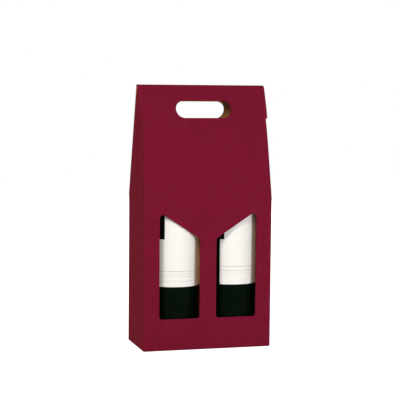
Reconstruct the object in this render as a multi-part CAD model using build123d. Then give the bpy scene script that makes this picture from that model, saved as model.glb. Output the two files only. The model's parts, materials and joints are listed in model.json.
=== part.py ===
from build123d import *
import math
import os

# A two-bottle wine carrier folded from one blank of micro-flute corrugated board.
# Millimetres. X runs left to right, the windowed front faces -Y, Z is up.
# The origin is the middle of the footprint, on the floor.

# Carton, outside
WIDTH = 180.0
DEPTH = 90.0
HEIGHT = 358.0
FOLD_Z = 202.0
BOARD = 1.6
FOLD_GAP = 0.3
CORNER_RADIUS = 1.2

# Windows in the front panel
WINDOW_SIDE_MARGIN = 22.0
WINDOW_POST = 23.0
WINDOW_BOTTOM_Z = 43.0
WINDOW_INNER_TOP_Z = 151.5
WINDOW_OUTER_TOP_Z = 188.3
WINDOW_CORNER_RADIUS = 4.5

# Gables, ridge and hand hole
RIDGE_WIDTH = 3.6
BULGE_ANGLE = 4.0
BULGE_START = 72.0
BAND_DROP = 46.0
CREASE_INSET = 0.3
EDGE_RELIEF = 2.4
BAND_STEP = 2.0
GABLE_CORNER_RADIUS = 2.0
HAND_HOLE_DROP = 35.2
HAND_HOLE_LENGTH = 78.5
HAND_HOLE_HEIGHT = 25.0
BACK_HOLE_LENGTH = 73.5
TUCK_DEPTH = 58.0
TUCK_SIDE_CLEARANCE = 0.6
TUCK_TAPER = 4.0
TUCK_CORNER_RADIUS = 8.0
TUCK_CLEARANCE = 0.3
SIDE_FLAP_TOP_DROP = 10.0
SIDE_FLAP_CLEARANCE = 0.4
SIDE_FLAP_CORNER_RADIUS = 3.0

# Snap-lock bottom
FLAP_CLEARANCE = 0.3
LOCK_WIDTH = 86.0
LOCK_CLEARANCE = 1.0
FRONT_FLAP_SHOULDER = 24.0
TONGUE_RISE_RUN = 14.0
TONGUE_LAND = 14.0
TONGUE_SETBACK = 5.0
BACK_FLAP_DEPTH = 58.0
NOTCH_DEPTH = 38.0
NOTCH_CORNER_RADIUS = 3.0
SIDE_BOTTOM_REACH = 44.0
SIDE_BOTTOM_BEVEL = 30.0

# Glue tab and divider
GLUE_TAB_WIDTH = 22.0
GLUE_TAB_BEVEL = 12.0
GLUE_TAB_END_GAP = 9.0
DIVIDER_HEIGHT = 178.0
DIVIDER_FRONT_FOOT = 9.0
DIVIDER_BACK_FOOT = 30.0

# Bordeaux bottle, 75 cl
BOTTLE_HEIGHT = 289.0
BOTTLE_RADIUS = 37.5
GLASS_WALL = 3.2
NECK_RADIUS = 14.0
BORE_RADIUS = 9.3
LIP_RADIUS = 14.8
LIP_HEIGHT = 7.0
LIP_UNDERCUT = 1.0
SHOULDER_HEIGHT = 188.0
SHOULDER_CONVEX = 32.0
SHOULDER_CONCAVE = 18.0
HEEL_RADIUS = 5.0
PUNT_RADIUS = 27.0
PUNT_HEIGHT = 18.0
INNER_HEEL = 6.0
FILL_DROP = 60.0
CORK_LENGTH = 44.0
CORK_DROP = 1.0
CAPSULE_LENGTH = 58.0
CAPSULE_SKIN = 0.35
SKIN_GAP = 0.05
BOTTLE_CLEARANCE = 0.3
FORWARD_SHARE_OF_PLAY = 0.354
WALL_SHARE_OF_PLAY = 0.591

# Stepped paper label, measured round the bottle and up from its foot
LABEL_SKIN = 0.2
LABEL_WIDTH = 80.0
LABEL_TOP_WIDTH = 61.0
LABEL_BOTTOM = 77.5
LABEL_STEP = 149.0
LABEL_TOP = 184.0
LEFT_LABEL_ANGLE = 16.0
RIGHT_LABEL_ANGLE = 21.0

half_width = WIDTH / 2
half_depth = DEPTH / 2
inner_half_width = half_width - BOARD
inner_half_depth = half_depth - BOARD
fold_bottom_z = FOLD_Z + FOLD_GAP
floor_top_z = 4 * BOARD + 2 * FLAP_CLEARANCE
notch_back_y = half_depth - BACK_FLAP_DEPTH + NOTCH_DEPTH
label_radius = BOTTLE_RADIUS + SKIN_GAP + LABEL_SKIN

# Ridge, seen from the side: front gable, flat strip, back gable
ridge_half = (BOARD + FOLD_GAP + RIDGE_WIDTH) / 2
ridge_front = (-ridge_half, HEIGHT - FOLD_GAP)
ridge_back = (ridge_half, HEIGHT)
tuck_fold = (ridge_half - RIDGE_WIDTH, HEIGHT)
front_crease = (-half_depth, FOLD_Z)
back_crease = (half_depth, FOLD_Z)

# The side flaps lean in, so that they stay behind the relieved edges of the front gable
side_flap_slope = EDGE_RELIEF / (HEIGHT - BAND_DROP - FOLD_Z)


def outline(*points):
    """Flat face inside a closed run of straight lines."""
    return make_face(Polyline(*points, close=True))


def across(section, half_span):
    """Solid with its section in the Y-Z plane, reaching half_span to each side."""
    return extrude(Plane.YZ * section, amount=half_span, both=True)


def lying(face, bottom_z):
    """One board thickness of a face drawn in plan."""
    return extrude(Plane.XY.offset(bottom_z) * face, amount=BOARD)


def facing_front(face, outer_y):
    """One board thickness of a face drawn in X and Z, its outside at outer_y."""
    return extrude(Plane.XZ.offset(-outer_y - BOARD) * face, amount=BOARD)


def facing_left(face, outer_x):
    """One board thickness of a face drawn in Y and Z, its outside at outer_x."""
    return extrude(Plane.YZ.offset(outer_x) * face, amount=BOARD)


def mirrored(part):
    """The same piece on the other side of the carton."""
    return mirror(part, about=Plane.YZ)


def inside_points(path, thickness):
    """Points one thickness to the left of a path, mitred at its corners."""
    normals = []
    for start, end in zip(path, path[1:]):
        along = (Vector(*end) - Vector(*start)).normalized()
        normals.append(Vector(-along.Y, along.X))
    before = [normals[0]] + normals
    after = normals + [normals[-1]]
    points = []
    for point, first, second in zip(path, before, after):
        shift = (first + second) * (thickness / (1 + first.dot(second)))
        points.append((point[0] + shift.X, point[1] + shift.Y))
    return points


def moved_along(point, start, end, distance):
    """A point moved in the direction from start to end."""
    step = (Vector(*end) - Vector(*start)).normalized() * distance
    return (point[0] + step.X, point[1] + step.Y)


# Bowed section of the front gable: straight from the crease, then one tangent arc
chord_angle = math.atan2(ridge_front[0] - front_crease[0], ridge_front[1] - front_crease[1])
straight_angle = chord_angle - math.radians(BULGE_ANGLE)
gable_along = Vector(math.sin(straight_angle), math.cos(straight_angle))
gable_inward = Vector(math.cos(straight_angle), -math.sin(straight_angle))
bend_start = Vector(*front_crease) + gable_along * BULGE_START
bend_chord = Vector(*ridge_front) - bend_start
bend_radius = bend_chord.length ** 2 / (2 * bend_chord.dot(gable_inward))
bend_centre = bend_start + gable_inward * bend_radius
bend_turn = 2 * math.atan2(bend_chord.dot(gable_inward), bend_chord.dot(gable_along))


def on_bend(turn, radius):
    """Point of the gable's arc, turned on from where the arc starts."""
    spoke = gable_along * math.sin(turn) - gable_inward * math.cos(turn)
    return bend_centre + spoke * radius


def circle_crossing(centre, radius, other, other_radius):
    """The lower of the two points where two circles cross."""
    link = other - centre
    along = (radius ** 2 - other_radius ** 2 + link.length ** 2) / (2 * link.length)
    side = math.sqrt(radius ** 2 - along ** 2)
    unit = link.normalized()
    foot = centre + unit * along
    swing = Vector(-unit.Y, unit.X) * side
    return min(foot + swing, foot - swing, key=lambda point: point.Y)


# The tuck flap leans on the inside of the bowed gable
tuck_end = circle_crossing(
    bend_centre, bend_radius - BOARD - TUCK_CLEARANCE, Vector(*tuck_fold), TUCK_DEPTH
)
back_path = [back_crease, ridge_back, tuck_fold, (tuck_end.X, tuck_end.Y)]
back_inside = inside_points(back_path, BOARD)
tuck_lean = math.atan2(tuck_fold[0] - tuck_end.X, tuck_fold[1] - tuck_end.Y)
back_lean = math.atan2(back_crease[0] - ridge_back[0], ridge_back[1] - back_crease[1])


def hand_hole(length, centre, lean):
    """Cutter with full-round ends, square to a panel that leans by an angle."""
    plane = Plane(
        origin=(0, centre.X, centre.Y),
        x_dir=(1, 0, 0),
        z_dir=(0, -math.cos(lean), math.sin(lean)),
    )
    return extrude(plane * SlotOverall(length, HAND_HOLE_HEIGHT), amount=3 * BOARD, both=True)


def window():
    """Right-hand window, its head sloping down towards the centre post."""
    inner_x = WINDOW_POST / 2
    outer_x = half_width - WINDOW_SIDE_MARGIN
    face = outline(
        (inner_x, WINDOW_BOTTOM_Z),
        (outer_x, WINDOW_BOTTOM_Z),
        (outer_x, WINDOW_OUTER_TOP_Z),
        (inner_x, WINDOW_INNER_TOP_Z),
    )
    return fillet(face.vertices(), WINDOW_CORNER_RADIUS)


def wall(half_span):
    """Plain upright wall from the floor to the crease."""
    return outline((-half_span, 0), (half_span, 0), (half_span, FOLD_Z), (-half_span, FOLD_Z))


def upright_corners(part, y_side):
    """The two long outer corners of a front or back wall."""
    upright = part.edges().filter_by(Axis.Z)
    return upright.filter_by(lambda edge: abs(edge.center().Y - y_side) < BOARD / 4)


def front_panel():
    pane = window()
    face = wall(half_width) - pane - mirror(pane, about=Plane.YZ)
    part = facing_front(face, -half_depth)
    corners = [
        edge
        for edge in upright_corners(part, -half_depth)
        if abs(edge.center().X) > half_width - CORNER_RADIUS
    ]
    return fillet(corners, CORNER_RADIUS)


def back_panel():
    part = facing_front(wall(half_width), half_depth - BOARD)
    return fillet(upright_corners(part, half_depth), CORNER_RADIUS)


def left_side_panel():
    return facing_left(wall(inner_half_depth), -half_width)


def glue_tab():
    """Tab off the left side, glued to the inside of the back panel."""
    start_x = -inner_half_width
    end_x = start_x + GLUE_TAB_WIDTH
    low_z = GLUE_TAB_END_GAP
    high_z = FOLD_Z - GLUE_TAB_END_GAP
    face = outline(
        (start_x, low_z),
        (end_x, low_z + GLUE_TAB_BEVEL),
        (end_x, high_z - GLUE_TAB_BEVEL),
        (start_x, high_z),
    )
    return facing_front(face, inner_half_depth - BOARD)


def bottom_front_flap():
    """Outermost flap, whose tongue climbs over the back flap's notch."""
    front_y = -inner_half_depth + FLAP_CLEARANCE
    land_y = notch_back_y - TONGUE_SETBACK
    flat_end = land_y - TONGUE_RISE_RUN
    shoulder_y = front_y + FRONT_FLAP_SHOULDER
    wide = inner_half_width - FLAP_CLEARANCE
    narrow = LOCK_WIDTH / 2 - LOCK_CLEARANCE
    plate = outline(
        (-wide, front_y),
        (wide, front_y),
        (wide, shoulder_y),
        (narrow, flat_end),
        (-narrow, flat_end),
        (-wide, shoulder_y),
    )
    climb = 3 * BOARD + FLAP_CLEARANCE
    path = [
        (flat_end, 0),
        (land_y, climb),
        (land_y + TONGUE_LAND, climb),
    ]
    inside = inside_points([(front_y, 0)] + path, BOARD)
    root_y = flat_end - BOARD
    section = outline(*path, *reversed(inside[1:]), (root_y, BOARD), (root_y, 0))
    return lying(plate, 0) + across(section, narrow)


def bottom_back_flap():
    """Inner flap with the open notch that the tongue passes through."""
    back_y = inner_half_depth - FLAP_CLEARANCE
    free_y = half_depth - BACK_FLAP_DEPTH
    wide = inner_half_width - FLAP_CLEARANCE
    face = outline((-wide, back_y), (wide, back_y), (wide, free_y), (-wide, free_y))
    half_lock = LOCK_WIDTH / 2
    notch = outline(
        (-half_lock, free_y - BOARD),
        (half_lock, free_y - BOARD),
        (half_lock, notch_back_y),
        (-half_lock, notch_back_y),
    )
    notch = fillet(notch.vertices().group_by(Axis.Y)[-1], NOTCH_CORNER_RADIUS)
    return lying(face - notch, 2 * BOARD + FLAP_CLEARANCE)


def bottom_left_flap():
    """Side flap of the floor, bevelled to clear the front flap's fold."""
    hinge_x = -inner_half_width + FLAP_CLEARANCE
    free_x = -half_width + SIDE_BOTTOM_REACH
    reach_y = inner_half_depth - FLAP_CLEARANCE
    face = outline(
        (hinge_x, -reach_y),
        (free_x, -reach_y + SIDE_BOTTOM_BEVEL),
        (free_x, reach_y - BOARD),
        (hinge_x, reach_y),
    )
    return lying(face, BOARD + FLAP_CLEARANCE / 2)


def divider():
    """Z-folded insert: a foot behind the centre post, a web, and a foot on the back."""
    front_y = -inner_half_depth + FLAP_CLEARANCE
    back_y = inner_half_depth - FLAP_CLEARANCE
    web = BOARD / 2
    face = outline(
        (-DIVIDER_FRONT_FOOT, front_y),
        (web, front_y),
        (web, back_y - BOARD),
        (DIVIDER_BACK_FOOT, back_y - BOARD),
        (DIVIDER_BACK_FOOT, back_y),
        (-web, back_y),
        (-web, front_y + BOARD),
        (-DIVIDER_FRONT_FOOT, front_y + BOARD),
    )
    return extrude(Plane.XY.offset(floor_top_z) * face, amount=DIVIDER_HEIGHT)


def above_crease(part):
    """The part of a roof panel that lies above the gap at the crease."""
    keep = Plane.XY.offset(fold_bottom_z) * Rectangle(2 * WIDTH, 2 * DEPTH)
    return part & extrude(keep, amount=HEIGHT)


def front_gable():
    """Bowed front of the roof, set in at its edges below the hand-hole band."""
    inner_radius = bend_radius - BOARD
    outer_start = bend_start - gable_along * (BULGE_START + BOARD)
    inner_start = outer_start + gable_inward * BOARD
    edges = [
        Line(outer_start, on_bend(0, bend_radius)),
        ThreePointArc(
            on_bend(0, bend_radius), on_bend(bend_turn / 2, bend_radius), on_bend(bend_turn, bend_radius)
        ),
        Line(on_bend(bend_turn, bend_radius), on_bend(bend_turn, inner_radius)),
        ThreePointArc(
            on_bend(bend_turn, inner_radius), on_bend(bend_turn / 2, inner_radius), on_bend(0, inner_radius)
        ),
        Line(on_bend(0, inner_radius), inner_start),
        Line(inner_start, outer_start),
    ]
    part = above_crease(across(make_face(edges), half_width))
    top_corners = [
        edge
        for edge in part.edges()
        if abs(edge.length - BOARD) < BOARD / 100 and edge.center().Z > HEIGHT - 2 * BOARD
    ]
    part = fillet(top_corners, GABLE_CORNER_RADIUS)
    band_z = HEIGHT - BAND_DROP
    relief = outline(
        (half_width - CREASE_INSET, FOLD_Z),
        (half_width + BOARD, FOLD_Z),
        (half_width + BOARD, band_z + BAND_STEP),
        (half_width, band_z + BAND_STEP),
        (half_width - EDGE_RELIEF, band_z),
    )
    cutter = extrude(Plane.XZ * relief, amount=DEPTH, both=True)
    hole_turn = bend_turn - HAND_HOLE_DROP / bend_radius
    hole_centre = on_bend(hole_turn, bend_radius)
    hole = hand_hole(HAND_HOLE_LENGTH, hole_centre, straight_angle + hole_turn)
    return part - cutter - mirrored(cutter) - hole


def back_gable():
    """Flat back of the roof with the narrow strip along the ridge."""
    section = outline(*back_path[:3], *reversed(back_inside[:3]))
    part = above_crease(across(section, half_width))
    centre = Vector(*moved_along(ridge_back, ridge_back, back_crease, HAND_HOLE_DROP))
    return part - hand_hole(BACK_HOLE_LENGTH, centre, -back_lean)


def tuck_flap():
    """Closing flap, folded down from the ridge behind the front gable."""
    outer_start = moved_along(back_path[2], back_path[2], back_path[3], FOLD_GAP)
    inner_start = moved_along(back_inside[2], back_path[2], back_path[3], FOLD_GAP)
    part = across(outline(outer_start, back_path[3], back_inside[3], inner_start), half_width)
    side_flaps_inset = (HEIGHT - FOLD_Z) * side_flap_slope
    root_half = inner_half_width - side_flaps_inset - TUCK_SIDE_CLEARANCE
    end_half = root_half - TUCK_TAPER
    end_z = HEIGHT - TUCK_DEPTH * math.cos(tuck_lean)
    shape = outline(
        (-root_half, HEIGHT),
        (root_half, HEIGHT),
        (end_half, end_z - BOARD),
        (-end_half, end_z - BOARD),
    )
    shape = fillet(shape.vertices().group_by(Axis.Y)[0], TUCK_CORNER_RADIUS)
    part = part & extrude(Plane.XZ * shape, amount=half_depth, both=True)
    centre = Vector(*moved_along(tuck_fold, tuck_fold, back_path[3], HAND_HOLE_DROP))
    return part - hand_hole(HAND_HOLE_LENGTH, centre, tuck_lean)


def left_side_flap():
    """Flap between the gables, its front edge bowed to lie along the front one."""
    top_z = HEIGHT - SIDE_FLAP_TOP_DROP
    behind_front = BOARD + SIDE_FLAP_CLEARANCE
    behind_back = BOARD / math.cos(back_lean) + SIDE_FLAP_CLEARANCE
    bow_radius = bend_radius - behind_front
    bow_foot = bend_start + gable_inward * behind_front
    front_foot = bow_foot - gable_along * ((bow_foot.Y - fold_bottom_z) / gable_along.Y)
    top_turn = math.asin((top_z - bend_centre.Y) / bow_radius) - straight_angle
    front_top = on_bend(top_turn, bow_radius)

    def on_back(z):
        return half_depth - (z - FOLD_Z) * math.tan(back_lean) - behind_back

    edges = [
        Line(front_foot, bow_foot),
        ThreePointArc(bow_foot, on_bend(top_turn / 2, bow_radius), front_top),
        Line(front_top, (on_back(top_z), top_z)),
        Line((on_back(top_z), top_z), (on_back(fold_bottom_z), fold_bottom_z)),
        Line((on_back(fold_bottom_z), fold_bottom_z), front_foot),
    ]
    face = make_face(edges)
    face = fillet(face.vertices().group_by(Axis.Y)[-1], SIDE_FLAP_CORNER_RADIUS)
    crease = Axis((-half_width, 0, FOLD_Z), (0, 1, 0))
    return facing_left(face, -half_width).rotate(crease, math.degrees(math.atan(side_flap_slope)))


def shoulder(body_radius, neck_radius, convex, concave, start_z):
    """Two tangent arcs from a bottle's body in to its neck."""
    spread = convex + concave
    turn = math.acos(1 - (body_radius - neck_radius) / spread)
    end_z = start_z + spread * math.sin(turn)

    def on_convex(angle):
        return (body_radius - convex + convex * math.cos(angle), start_z + convex * math.sin(angle))

    def on_concave(angle):
        return (neck_radius + concave - concave * math.cos(angle), end_z - concave * math.sin(angle))

    return [
        ThreePointArc(on_convex(0), on_convex(turn / 2), on_convex(turn)),
        ThreePointArc(on_convex(turn), on_concave(turn / 2), on_concave(0)),
    ]


def dome(rim_radius, rim_z, crown_z):
    """Arc from the bottle's axis down to the rim of its punt."""
    rise = crown_z - rim_z
    radius = (rim_radius ** 2 + rise ** 2) / (2 * rise)
    half_turn = math.asin(rim_radius / radius) / 2
    middle = (radius * math.sin(half_turn), crown_z - radius * (1 - math.cos(half_turn)))
    return ThreePointArc((0, crown_z), middle, (rim_radius, rim_z))


def turned(edges):
    """Solid of revolution about the bottle's axis, standing on z = 0."""
    return revolve(Plane.XZ * make_face(edges), axis=Axis.Z)


def inner_edges(top_z):
    """Inside of the glass from the punt's crown up to a height in the neck."""
    radius = BOTTLE_RADIUS - GLASS_WALL
    rim_radius = radius - INNER_HEEL
    heel_z = GLASS_WALL + INNER_HEEL
    sag = INNER_HEEL * (1 - math.sqrt(0.5))
    convex = SHOULDER_CONVEX - GLASS_WALL
    concave = SHOULDER_CONCAVE + GLASS_WALL
    arcs = shoulder(radius, BORE_RADIUS, convex, concave, SHOULDER_HEIGHT)
    return [
        dome(rim_radius, GLASS_WALL, PUNT_HEIGHT + GLASS_WALL),
        ThreePointArc((rim_radius, GLASS_WALL), (radius - sag, GLASS_WALL + sag), (radius, heel_z)),
        Line((radius, heel_z), (radius, SHOULDER_HEIGHT)),
        *arcs,
        Line(arcs[1] @ 1, (BORE_RADIUS, top_z)),
    ]


def bottle_glass():
    lip_z = BOTTLE_HEIGHT - LIP_HEIGHT
    sag = HEEL_RADIUS * (1 - math.sqrt(0.5))
    heel_x = BOTTLE_RADIUS - HEEL_RADIUS
    arcs = shoulder(BOTTLE_RADIUS, NECK_RADIUS, SHOULDER_CONVEX, SHOULDER_CONCAVE, SHOULDER_HEIGHT)
    edges = [
        dome(PUNT_RADIUS, 0, PUNT_HEIGHT),
        Line((PUNT_RADIUS, 0), (heel_x, 0)),
        ThreePointArc((heel_x, 0), (BOTTLE_RADIUS - sag, sag), (BOTTLE_RADIUS, HEEL_RADIUS)),
        Line((BOTTLE_RADIUS, HEEL_RADIUS), (BOTTLE_RADIUS, SHOULDER_HEIGHT)),
        *arcs,
        Line(arcs[1] @ 1, (NECK_RADIUS, lip_z - LIP_UNDERCUT)),
        Line((NECK_RADIUS, lip_z - LIP_UNDERCUT), (LIP_RADIUS, lip_z)),
        Line((LIP_RADIUS, lip_z), (LIP_RADIUS, BOTTLE_HEIGHT)),
        Line((LIP_RADIUS, BOTTLE_HEIGHT), (BORE_RADIUS, BOTTLE_HEIGHT)),
        *inner_edges(BOTTLE_HEIGHT),
        Line((0, PUNT_HEIGHT), (0, PUNT_HEIGHT + GLASS_WALL)),
    ]
    return turned(edges)


def bottle_wine():
    fill_z = BOTTLE_HEIGHT - FILL_DROP
    edges = [
        *inner_edges(fill_z),
        Line((BORE_RADIUS, fill_z), (0, fill_z)),
        Line((0, fill_z), (0, PUNT_HEIGHT + GLASS_WALL)),
    ]
    return turned(edges)


def bottle_cork():
    top_z = BOTTLE_HEIGHT - CORK_DROP
    cork = Cylinder(BORE_RADIUS, CORK_LENGTH, align=(Align.CENTER, Align.CENTER, Align.MAX))
    return Pos(0, 0, top_z) * cork


def bottle_capsule():
    """Thin skin drawn down over the lip and the upper neck."""
    lip_z = BOTTLE_HEIGHT - LIP_HEIGHT
    foot_z = BOTTLE_HEIGHT - CAPSULE_LENGTH
    neck = NECK_RADIUS + SKIN_GAP
    lip = LIP_RADIUS + SKIN_GAP
    top_z = BOTTLE_HEIGHT + SKIN_GAP
    section = outline(
        (neck, foot_z),
        (neck + CAPSULE_SKIN, foot_z),
        (neck + CAPSULE_SKIN, lip_z - LIP_UNDERCUT),
        (lip + CAPSULE_SKIN, lip_z),
        (lip + CAPSULE_SKIN, top_z + CAPSULE_SKIN),
        (0, top_z + CAPSULE_SKIN),
        (0, top_z),
        (lip, top_z),
        (lip, lip_z),
        (neck, lip_z - LIP_UNDERCUT),
    )
    return revolve(Plane.XZ * section, axis=Axis.Z)


def bottle_label(turn):
    """Stepped label round the body, its middle turned from -Y towards +X."""
    radius = BOTTLE_RADIUS + SKIN_GAP

    def block(width, low_z, high_z):
        section = outline(
            (radius, low_z),
            (radius + LABEL_SKIN, low_z),
            (radius + LABEL_SKIN, high_z),
            (radius, high_z),
        )
        spread = math.degrees(width / radius)
        strip = revolve(Plane.XZ * section, axis=Axis.Z, revolution_arc=spread)
        return Rot(0, 0, turn - 90 - spread / 2) * strip

    wide = block(LABEL_WIDTH, LABEL_BOTTOM, LABEL_STEP)
    return wide + block(LABEL_TOP_WIDTH, LABEL_STEP, LABEL_TOP)


parts = {
    "front_panel": front_panel(),
    "back_panel": back_panel(),
    "left_side_panel": left_side_panel(),
    "right_side_panel": mirrored(left_side_panel()),
    "glue_tab": glue_tab(),
    "bottom_front_flap": bottom_front_flap(),
    "bottom_back_flap": bottom_back_flap(),
    "bottom_left_flap": bottom_left_flap(),
    "bottom_right_flap": mirrored(bottom_left_flap()),
    "divider": divider(),
    "front_gable": front_gable(),
    "back_gable": back_gable(),
    "tuck_flap": tuck_flap(),
    "left_side_flap": left_side_flap(),
    "right_side_flap": mirrored(left_side_flap()),
}

# Both bottles stand on the locked bottom, the left one against the divider,
# and each is off the middle of its cell by a share of the play it has there
cell_play = inner_half_width - BOARD / 2 - 2 * label_radius
left_bottle_x = -(BOARD / 2 + BOTTLE_CLEARANCE + BOTTLE_RADIUS)
right_bottle_x = inner_half_width - label_radius - WALL_SHARE_OF_PLAY * cell_play
bottle_y = -FORWARD_SHARE_OF_PLAY * (inner_half_depth - label_radius)
for side, bottle_x, label_turn in (
    ("left", left_bottle_x, LEFT_LABEL_ANGLE),
    ("right", right_bottle_x, RIGHT_LABEL_ANGLE),
):
    place = Pos(bottle_x, bottle_y, floor_top_z)
    parts[side + "_bottle_glass"] = place * bottle_glass()
    parts[side + "_bottle_wine"] = place * bottle_wine()
    parts[side + "_bottle_cork"] = place * bottle_cork()
    parts[side + "_bottle_capsule"] = place * bottle_capsule()
    parts[side + "_bottle_label"] = place * bottle_label(label_turn)

os.makedirs("parts", exist_ok=True)
for name, part in parts.items():
    export_step(part, "parts/" + name + ".step")

print("bend radius", round(bend_radius, 2), "turn", round(math.degrees(bend_turn), 2))
print("gable straight lean", round(math.degrees(straight_angle), 2))
print("back lean", round(math.degrees(back_lean), 2))
print("tuck lean", round(math.degrees(tuck_lean), 2), "end", round(tuck_end.X, 2), round(tuck_end.Y, 2))
print("tuck fold", tuck_fold, "unfolds by", round(180 - math.degrees(tuck_lean + back_lean), 2))
print("bottles at", left_bottle_x, right_bottle_x, bottle_y, "foot", floor_top_z)
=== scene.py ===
import json
import math
from collections import namedtuple

import bmesh
import bpy
from mathutils import Matrix, Vector


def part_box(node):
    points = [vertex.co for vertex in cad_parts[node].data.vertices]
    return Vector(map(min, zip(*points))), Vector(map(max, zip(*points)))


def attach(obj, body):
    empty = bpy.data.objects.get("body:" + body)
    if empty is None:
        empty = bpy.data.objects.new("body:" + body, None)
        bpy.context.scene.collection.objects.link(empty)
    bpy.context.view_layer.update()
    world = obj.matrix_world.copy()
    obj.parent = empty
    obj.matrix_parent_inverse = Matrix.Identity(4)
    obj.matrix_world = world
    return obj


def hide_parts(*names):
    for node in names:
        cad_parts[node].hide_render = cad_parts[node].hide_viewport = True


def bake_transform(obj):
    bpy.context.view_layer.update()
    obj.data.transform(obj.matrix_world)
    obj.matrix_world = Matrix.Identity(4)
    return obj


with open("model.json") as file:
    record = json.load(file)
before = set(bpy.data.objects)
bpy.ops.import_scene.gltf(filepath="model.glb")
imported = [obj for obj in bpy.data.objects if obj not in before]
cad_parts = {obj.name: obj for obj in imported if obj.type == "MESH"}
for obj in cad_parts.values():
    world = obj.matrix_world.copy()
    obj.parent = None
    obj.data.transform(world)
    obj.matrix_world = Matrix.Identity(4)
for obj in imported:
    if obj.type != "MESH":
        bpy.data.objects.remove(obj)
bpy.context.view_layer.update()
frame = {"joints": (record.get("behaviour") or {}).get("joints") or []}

# Lengths are millimetres in the frame's own axes, unless a comment says metres
MM = 0.001


def metres(place):
    return tuple(value * MM for value in place)


def node_box(name):
    """Lowest and highest corner of a node, in millimetres."""
    low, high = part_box(name)
    return [value / MM for value in low], [value / MM for value in high]


def joint_place(name):
    """Where a joint turns, in millimetres."""
    found = next(joint for joint in frame["joints"] if joint["name"] == name)
    return [value / MM for value in found["pos_m"]]


# Sizes read from the frame
wall_low, wall_high = node_box("front_panel")
half_width = wall_high[0]
half_depth = -wall_low[1]
board = wall_high[1] - wall_low[1]
fold_z = joint_place("front_gable_fold")[2]
ridge_z = node_box("back_gable")[1][2]

# Make-up of the corrugated board
LINER = 0.3
MEDIUM = 0.2
FLUTE_PITCH = 3.3
STEPS_PER_FLUTE = 8
RIB_DEPTH = 0.045
COLUMN = FLUTE_PITCH / STEPS_PER_FLUTE

# Folds and creases
CORNER_FOLD = 2.2
FLOOR_FOLD = 1.7
GABLE_FOLD = 12.0
RIDGE_FOLD = 2.1
FOLD_MARGIN = 0.2
CREASE_REACH = 2.0
CREASE_GAP = 0.05
flat_inset = CORNER_FOLD + FOLD_MARGIN

# Points nearer than the weld are one, and an arc that would fill its leg is smaller by a weld
WELD = 0.001

# Fineness of the meshes; an outline is looked at a nudge beside its corners
NUDGE = 0.00001
DECIMALS = 4
ARC_STEP = math.radians(9)
LEAST_ARC_STEPS = 2
LEAST_COLUMN_SHARE = 0.25
FOLD_ROWS = 5
CREASE_ROWS = 10
BOW_ROWS = 24
CLIMB_ROWS = 6
SMOOTH_ANGLE = math.radians(38)


def clamp(value, low, high):
    return min(max(value, low), high)


def evenly(low, high, steps):
    """Values at equal steps from low to high."""
    return [low + (high - low) * i / steps for i in range(steps + 1)]


def with_mirror(right):
    """Outline of a piece that is the same on both sides, from its right half."""
    return right + [(-u, v) for u, v in reversed(right)]


def corner_legs(before, corner, after):
    """Directions into and out of a corner, and the turn from one to the other."""
    first = (Vector(corner) - Vector(before)).normalized()
    second = (Vector(after) - Vector(corner)).normalized()
    turn = math.atan2(first.x * second.y - first.y * second.x, first.dot(second))
    return first, second, turn


# A line starts at its base; an arc has its centre there, and an arm from it to the arc's start
Run = namedtuple("Run", "begin base along arm rate", defaults=(None, 0))


class Path:
    """Straight lines joined by tangent arcs, measured along their length."""

    def __init__(self, points, radii, side=1):
        self.side = side
        self.runs = []
        self.leg_starts = [0.0]
        self.tangents = [0.0]
        length = 0.0
        here = Vector(points[0])
        for before, corner, after, radius in zip(points, points[1:], points[2:], radii):
            first, second, turn = corner_legs(before, corner, after)
            tangent = radius * math.tan(abs(turn) / 2)
            start = Vector(corner) - first * tangent
            length = self.add_line(length, here, start)
            if radius:
                hand = math.copysign(1, turn)
                centre = start + Vector((-first.y, first.x)) * radius * hand
                self.runs.append(Run(length, centre, first, start - centre, hand / radius))
                length += radius * abs(turn)
            here = Vector(corner) + second * tangent
            self.leg_starts.append(length)
            self.tangents.append(tangent)
        self.length = self.add_line(length, here, Vector(points[-1]))

    def add_line(self, length, start, end):
        span = (end - start).length
        if span > WELD:
            self.runs.append(Run(length, start, (end - start) / span))
        return length + span

    def at(self, distance):
        """Point, and unit normal on the chosen side, at a distance along the path."""
        found = self.runs[0]
        for run in self.runs:
            if run.begin > distance:
                break
            found = run
        gone = distance - found.begin
        if found.rate:
            turn = Matrix.Rotation(gone * found.rate, 2)
            point = found.base + turn @ found.arm
            along = turn @ found.along
        else:
            point = found.base + found.along * gone
            along = found.along
        return point, Vector((-along.y, along.x)) * self.side

    def after_corner(self, index, distance):
        """Distance along the path of a place measured from a sharp corner on the leg after it."""
        return self.leg_starts[index] + distance - self.tangents[index]

    def stations(self, low, high):
        """Distances that follow the arcs closely enough, with the ends of every run."""
        marks = [low, high]
        ends = [run.begin for run in self.runs[1:]] + [self.length]
        for run, end in zip(self.runs, ends):
            count = 1
            if run.rate:
                count = max(LEAST_ARC_STEPS, math.ceil((end - run.begin) * abs(run.rate) / ARC_STEP))
            marks += evenly(run.begin, end, count)
        return sorted({round(mark, DECIMALS) for mark in marks if low <= mark <= high})

    def height_station(self, height, inset=0.0):
        """Distance at which a rising path, or a line inset from it, reaches a height."""
        low = 0.0
        high = self.length
        while high - low > WELD / 10:
            middle = (low + high) / 2
            point, normal = self.at(middle)
            if (point + normal * inset).y < height:
                low = middle
            else:
                high = middle
        return (low + high) / 2


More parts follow.
